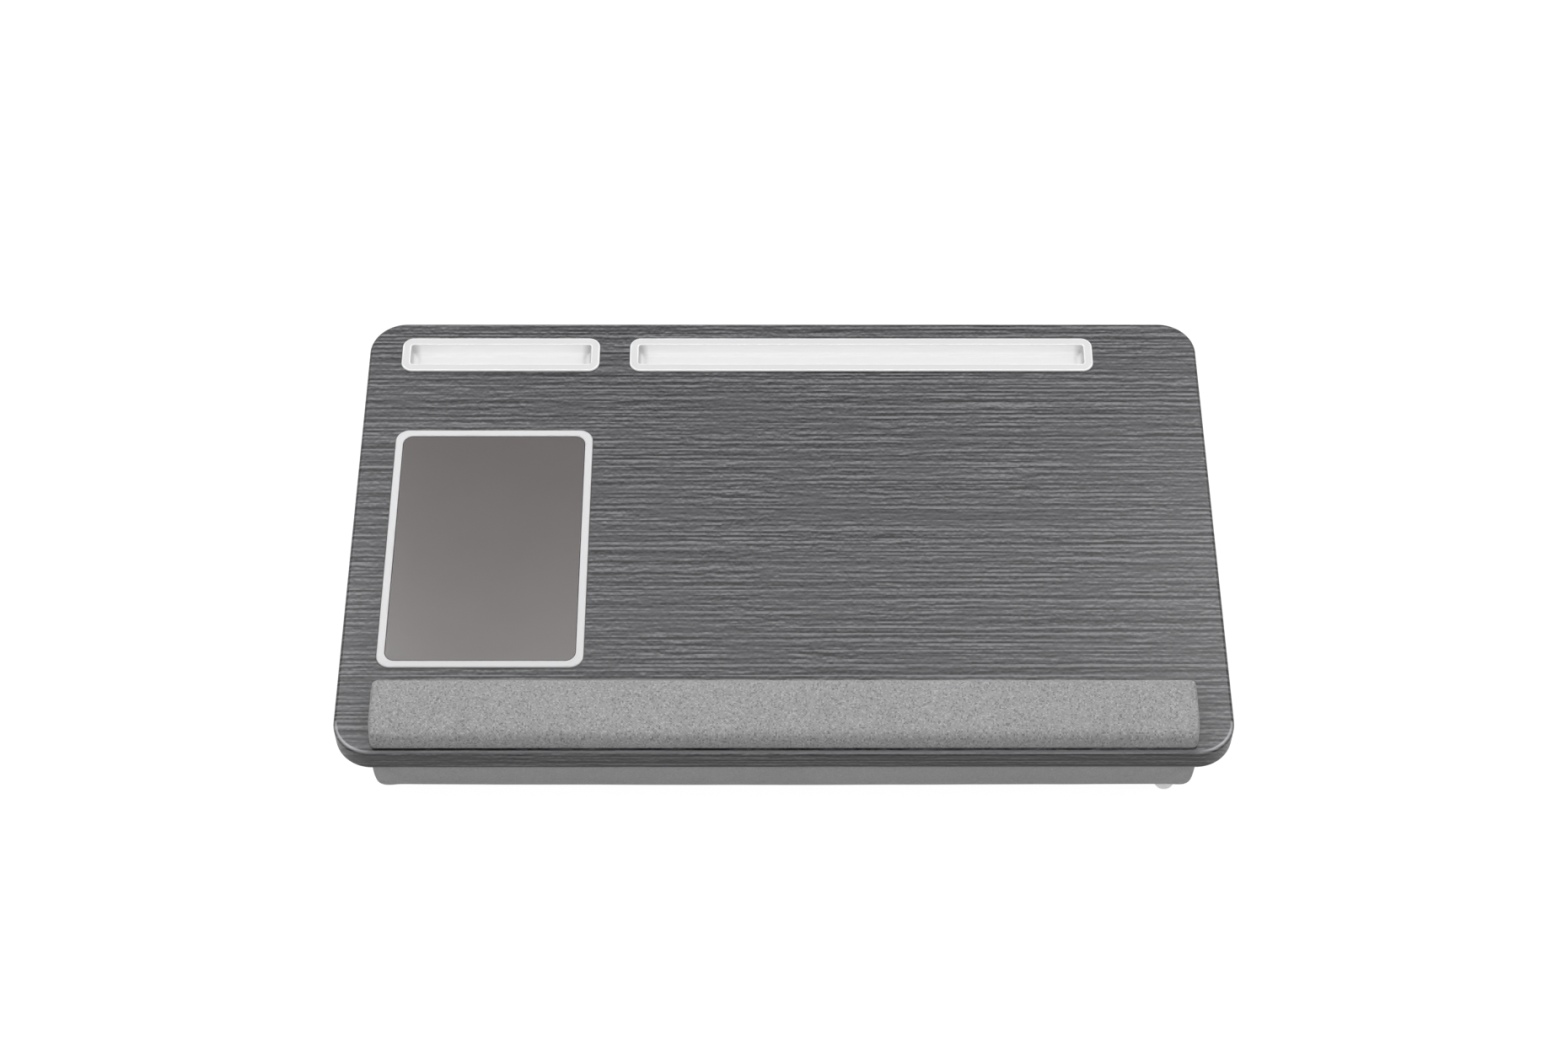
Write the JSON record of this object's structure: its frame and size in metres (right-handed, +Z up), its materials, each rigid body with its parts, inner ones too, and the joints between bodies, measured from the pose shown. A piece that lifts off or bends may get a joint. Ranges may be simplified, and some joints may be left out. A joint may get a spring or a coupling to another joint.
{
  "type": "lap desk",
  "caption": "Lap desk: wood-grain board with phone and tablet trays, an inlaid mouse pad, a padded wrist rest and soft bolsters underneath.",
  "frame": {"origin": "on the floor under the middle of the board, where the bolsters rest", "axes": "+Z up, +X to the user's right, +Y away from the user, from the wrist rest to the trays"},
  "size_m": [0.6, 0.3672, 0.077],
  "materials": {
    "grain_film": "satin",
    "fibreboard": "matte",
    "backer": "matte",
    "white_plastic": "satin",
    "pad_leather": "matte",
    "rest_fabric": "matte",
    "cushion_fabric": "matte",
    "panel_fabric": "matte",
    "bead_fill": "matte",
    "foam": "matte",
    "base_board": "matte",
    "tape": "matte",
    "card": "matte",
    "staple_steel": "satin",
    "tag": "matte"
  },
  "bodies": {
    "root": {"board_core": "fibreboard", "wood_grain_film": "grain_film", "backer_sheet": "backer", "phone_tray": "white_plastic", "phone_tray_tape": "tape", "tablet_tray": "white_plastic", "tablet_tray_tape": "tape", "mouse_pad_frame": "white_plastic", "mouse_pad_surface": "pad_leather", "mouse_pad_foam": "foam", "mouse_pad_tape": "tape", "wrist_rest_cover": "rest_fabric", "wrist_rest_foam": "foam", "wrist_rest_base": "base_board", "wrist_rest_tape": "tape", "cushion_panel": "panel_fabric", "front_bolster_cover": "cushion_fabric", "rear_bolster_cover": "cushion_fabric", "front_bolster_fill": "bead_fill", "rear_bolster_fill": "bead_fill", "seam_tag": "tag", "front_outer_tack_strip": "card", "front_valley_tack_strip": "card", "rear_outer_tack_strip": "card", "rear_valley_tack_strip": "card", "staple_01": "staple_steel", "staple_02": "staple_steel", "staple_03": "staple_steel", "staple_04": "staple_steel", "staple_05": "staple_steel", "staple_06": "staple_steel", "staple_07": "staple_steel", "staple_08": "staple_steel", "staple_09": "staple_steel", "staple_10": "staple_steel", "staple_11": "staple_steel", "staple_12": "staple_steel", "staple_13": "staple_steel", "staple_14": "staple_steel", "staple_15": "staple_steel", "staple_16": "staple_steel"}
  },
  "joints": []
}
